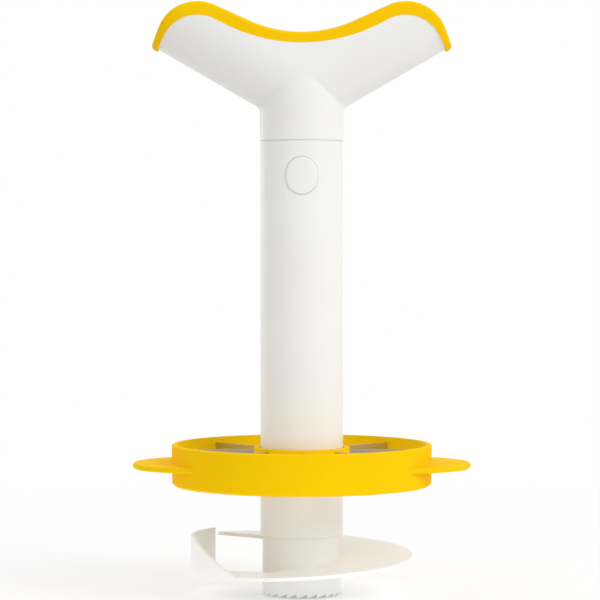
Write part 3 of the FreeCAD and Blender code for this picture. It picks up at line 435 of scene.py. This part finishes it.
def button_face(inset, fall):
    """A ring on the head's face, fall behind it."""
    return [(x, FACE_OUT - x**2 / (2 * FACE_CURVE) - fall, z) for x, z in button_outline(inset)]


def button_flange(depth):
    """A ring on the square flange's outline; no depth puts it on the flange's round front."""
    ring = []
    for x, z in button_outline(0):
        grow = min(FLANGE_HALF_WIDTH / max(abs(x), 1e-9), FLANGE_HALF_HEIGHT / max(abs(z), 1e-9))
        ring.append((x * grow, depth or math.sqrt(FLANGE_OUT**2 - (x * grow) ** 2), z * grow))
    return ring


def button_stud(radius, depth):
    """A round ring on the stud."""
    return [(radius * math.cos(turn), depth, radius * math.sin(turn)) for turn, _ in around]


def button_rings():
    """The button from the middle of its face to the end of its stud, as x, depth and height."""
    rings = [button_face(BUTTON_HALF_WIDTH * part, 0) for part in (1, 0.8, 0.6, 0.4, 0.25)]
    for turn in ROUNDING:
        rings.append(button_face(FACE_EDGE * (1 - math.sin(turn)), FACE_EDGE * (1 - math.cos(turn))))
    rings.append([(x, math.sqrt(FLANGE_OUT**2 - x**2), z) for x, z in button_outline(0)])
    rings += [button_flange(None), button_flange(SEAT_DEPTH)]
    rings += [button_stud(STUD_RADIUS, SEAT_DEPTH), button_stud(STUD_RADIUS, STUD_END)]
    return rings + [button_stud(0, STUD_END)]


for name, side in (("front_button", -1), ("rear_button", 1)):
    placed = [
        [Vector((-side * x, side * depth, BUTTON_LEVEL + z)) for x, depth, z in ring]
        for ring in button_rings()
    ]
    button = solid_from_rings(f"{name}_moulding", placed, white_abs)
    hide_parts(name)
    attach(button, name)

# Plate and plug
# White ABS from plainer moulds: the plate closes the shell's mouth under the grip, and the plug
# slides into the tube. Both keep the mould's satin and a cloudy, slightly greyer white.

inner_abs, tree, place = new_material("abs_white_satin_moulding")
colour = pigment(tree, place, (0.3, "#E4E3DE"), (0.75, "#EBEAE6"), patch=0.016, detail=3.0)
# Turning marks of the mould, 0.5 mm apart, as fine rings round the plug
turned = add(tree, "Mapping", {"Vector": place, "Scale": (0.05, 0.05, 1.0)})
marks = relief(tree, turned.outputs["Vector"], 0.0005, detail=1.0, strength=0.3, depth=0.00002)
shader = add(
    tree, "BsdfPrincipled",
    {"Base Color": colour, "Roughness": 0.5, "IOR": 1.53, "Specular IOR Level": 0.3, "Normal": marks},
)
finish_surface(tree, shader)
dress(inner_abs, "grip_insert", "latch_plug")

# Latch spring
# Hardened steel strip bent to a U, pushed over the buttons' studs. Rolling leaves fine lines
# along the strip, and the temper a grey with a little straw in it.

spring_steel, tree, place = new_material("spring_steel_rolled")
# The lines are drawn 0.25 mm apart, coarser than the rolls leave them, so that they show
along = add(tree, "Mapping", {"Vector": place, "Scale": (1.0, 0.1, 0.1)})
rolled = {"Vector": along.outputs["Vector"], "Scale": 1 / 0.00025, "Detail": 2.0}
sheen = {"Value": add(tree, "TexNoise", rolled).outputs["Fac"], "To Min": 0.28, "To Max": 0.48}
roughness = add(tree, "MapRange", sheen).outputs["Result"]
shader = add(
    tree, "BsdfPrincipled", {"Base Color": linear("#A8A49B"), "Metallic": 1.0, "Roughness": roughness}
)
finish_surface(tree, shader)

spring_low, spring_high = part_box("latch_spring")
SPRING_STEP = 0.001
SPRING_BEND = spring_low[2] + SPRING_STEP  # the cuts across the spring start here, one step above its foot


def cut_across(work, point, normal, **settings):
    """Cuts the whole spring along the plane through a point."""
    parts = work.verts[:] + work.edges[:] + work.faces[:]
    return bmesh.ops.bisect_plane(
        work, geom=parts, dist=1e-7, plane_co=point, plane_no=normal, **settings
    )


def spring_half(name, side):
    """One leg and half the bend, cut across every millimetre above its foot."""
    work = bmesh.new()
    work.from_mesh(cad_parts["latch_spring"].data)
    bmesh.ops.remove_doubles(work, verts=work.verts, dist=1e-6)
    cut = cut_across(work, (0, 0, 0), (0, side, 0), clear_inner=True)
    rim = [part for part in cut["geom_cut"] if isinstance(part, bmesh.types.BMEdge)]
    bmesh.ops.edgeloop_fill(work, edges=rim)
    level = SPRING_BEND
    while level < spring_high[2]:
        cut_across(work, (0, 0, level), (0, 0, 1))
        level += SPRING_STEP
    bmesh.ops.triangulate(work, faces=work.faces)
    mesh = bpy.data.meshes.new(name)
    work.to_mesh(mesh)
    work.free()
    mesh.materials.clear()
    mesh.materials.append(spring_steel)
    return link_piece(name, mesh)


for end, side in (("front", -1), ("rear", 1)):
    leg = spring_half(f"latch_spring_{end}", side)
    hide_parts("latch_spring")
    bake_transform(leg)

# Screws
# Two self-tapping steel screws from inside the plug into the plate's bosses. Zinc plating makes
# them bright, with a faint blue cast that clouds over in patches 1 mm wide.

zinc_plate, tree, place = new_material("steel_zinc_plated")
patch = add(tree, "TexNoise", {"Vector": place, "Scale": 1 / 0.001, "Detail": 3.0})
dull = add(tree, "MapRange", {"Value": patch.outputs["Fac"], "To Min": 0.2, "To Max": 0.5})
shader = add(
    tree, "BsdfPrincipled",
    {"Base Color": linear("#C3C8CE"), "Metallic": 1.0, "Roughness": dull.outputs["Result"]},
)
finish_surface(tree, shader)
dress(zinc_plate, "right_screw", "left_screw")

# Studio
# A pale floor under a white backdrop, a broad lamp at the right, a weak one behind on the left
# that edges the tube, and soft light all round.

FLOOR_REACH, FLOOR_DROP = 6.0, 0.0002  # the drop keeps it clear of the nose
corners = [(x * FLOOR_REACH, y * FLOOR_REACH, 0) for x, y in ((-1, -1), (1, -1), (1, 1), (-1, 1))]
floor_mesh = bpy.data.meshes.new("studio_floor")
floor_mesh.from_pydata(corners, [], [(0, 1, 2, 3)])
floor = bpy.data.objects.new("studio_floor", floor_mesh)
floor.location.z = -FLOOR_DROP
bpy.context.scene.collection.objects.link(floor)


def sees_backdrop(tree):
    """1 for the rays that show the backdrop, seen straight or in gloss and glass, 0 for its light."""
    path = add(tree, "LightPath").outputs
    seen = add(tree, "Math", {0: path["Is Camera Ray"], 1: path["Is Glossy Ray"]}, operation="MAXIMUM")
    both = {0: seen.outputs[0], 1: path["Is Transmission Ray"]}
    return add(tree, "Math", both, operation="MAXIMUM").outputs[0]


WHITE = (1, 1, 1, 1)
# Matt white paper: no reflection, only a faint shadow round the nose
paper, tree, place = new_material("paper_white_floor")
seen = sees_backdrop(tree)
glow = add(tree, "Emission", {"Color": WHITE, "Strength": 1.0})
matt = add(tree, "BsdfDiffuse", {"Color": linear("#DADADA")})
far = add(tree, "VectorMath", {0: place}, operation="LENGTH").outputs["Value"]
# A light box under the paper lifts the underside, which the blade and the ring would shade. It
# is dimmer in the middle, where the nose stands on it
outer = {"Value": far, "From Min": 0.06, "From Max": 0.14, "To Min": 0.70, "To Max": 0.0}
inner = {"Value": far, "From Min": 0.025, "From Max": 0.05, "To Min": 0.48, "To Max": 1.0}
parts = [add(tree, "MapRange", span).outputs["Result"] for span in (outer, inner)]
lift = add(tree, "Math", {0: parts[0], 1: parts[1]}, operation="MULTIPLY")
box = add(tree, "Emission", {"Color": WHITE, "Strength": lift.outputs[0]})
unseen = add(tree, "AddShader", {0: matt.outputs[0], 1: box.outputs[0]})
shown = add(tree, "BsdfDiffuse", {"Color": linear("#FFFFFF")})
bare = add(tree, "MixShader", {"Fac": seen, 1: unseen.outputs[0], 2: shown.outputs[0]})
# The bare paper shows near the object, where it takes a shadow, and fades into the backdrop
edge = {"Value": far, "From Min": 0.05, "From Max": 0.5, "To Min": 0.3, "To Max": 1.0}
fade = add(tree, "MapRange", edge)
share = add(tree, "Math", {0: seen, 1: fade.outputs["Result"]}, operation="MULTIPLY")
mix = add(tree, "MixShader", {"Fac": share.outputs[0], 1: bare.outputs[0], 2: glow.outputs[0]})
finish_surface(tree, mix)
floor_mesh.materials.append(paper)

world = bpy.data.worlds.new("studio_light")
bpy.context.scene.world = world
world.use_nodes = True
tree = world.node_tree
tree.nodes.clear()
# The soft light is a little stronger from above
up = add(tree, "SeparateXYZ", {"Vector": add(tree, "TexCoord").outputs["Generated"]})
height = {"Value": up.outputs["Z"], "From Min": 0.0, "To Min": 0.715, "To Max": 0.935}
dome = add(tree, "MapRange", height).outputs["Result"]
strength = add(tree, "MapRange", {"Value": sees_backdrop(tree), "To Min": dome, "To Max": 1.0})
sky = add(tree, "Background", {"Color": WHITE, "Strength": strength.outputs["Result"]})
add(tree, "OutputWorld", {"Surface": sky.outputs[0]})

LAMP_AIM = Vector((0, 0, 0.13))  # a little above the object's middle


def lamp(name, place, width, height, power):
    """A soft box that faces the object, its power in watts."""
    data = bpy.data.lights.new(name, "AREA")
    data.shape = "RECTANGLE"
    data.size, data.size_y = width, height
    data.energy = power
    box = bpy.data.objects.new(name, data)
    box.location = place
    box.rotation_euler = (LAMP_AIM - Vector(place)).to_track_quat("-Z", "Y").to_euler()
    bpy.context.scene.collection.objects.link(box)


lamp("key_right", (0.84, -0.71, 0.70), width=0.6, height=0.6, power=4.2)
lamp("rim_left", (-0.80, 0.95, 0.45), width=0.25, height=0.8, power=1.0)

# Camera
# A long lens in front of the object, 1.06 m away and level with the tube's upper half. It looks
# a little down, as in the photograph.

CAMERA_PLACE = (-0.0007, -1.06, 0.1449)
CAMERA_TILT = 1.45  # degrees
SENSOR_WIDTH = 36.0
IMAGE_WIDTH, FOCAL_LENGTH = 600, 2643  # both in pixels of the photograph
camera_data = bpy.data.cameras.new("camera")
camera_data.sensor_width = SENSOR_WIDTH
camera_data.lens = SENSOR_WIDTH * FOCAL_LENGTH / IMAGE_WIDTH
camera = bpy.data.objects.new("camera", camera_data)
camera.location = CAMERA_PLACE
camera.rotation_euler = (math.radians(90 - CAMERA_TILT), 0, 0)
bpy.context.scene.collection.objects.link(camera)
bpy.context.scene.camera = camera
bpy.context.scene.view_settings.view_transform = "Standard"
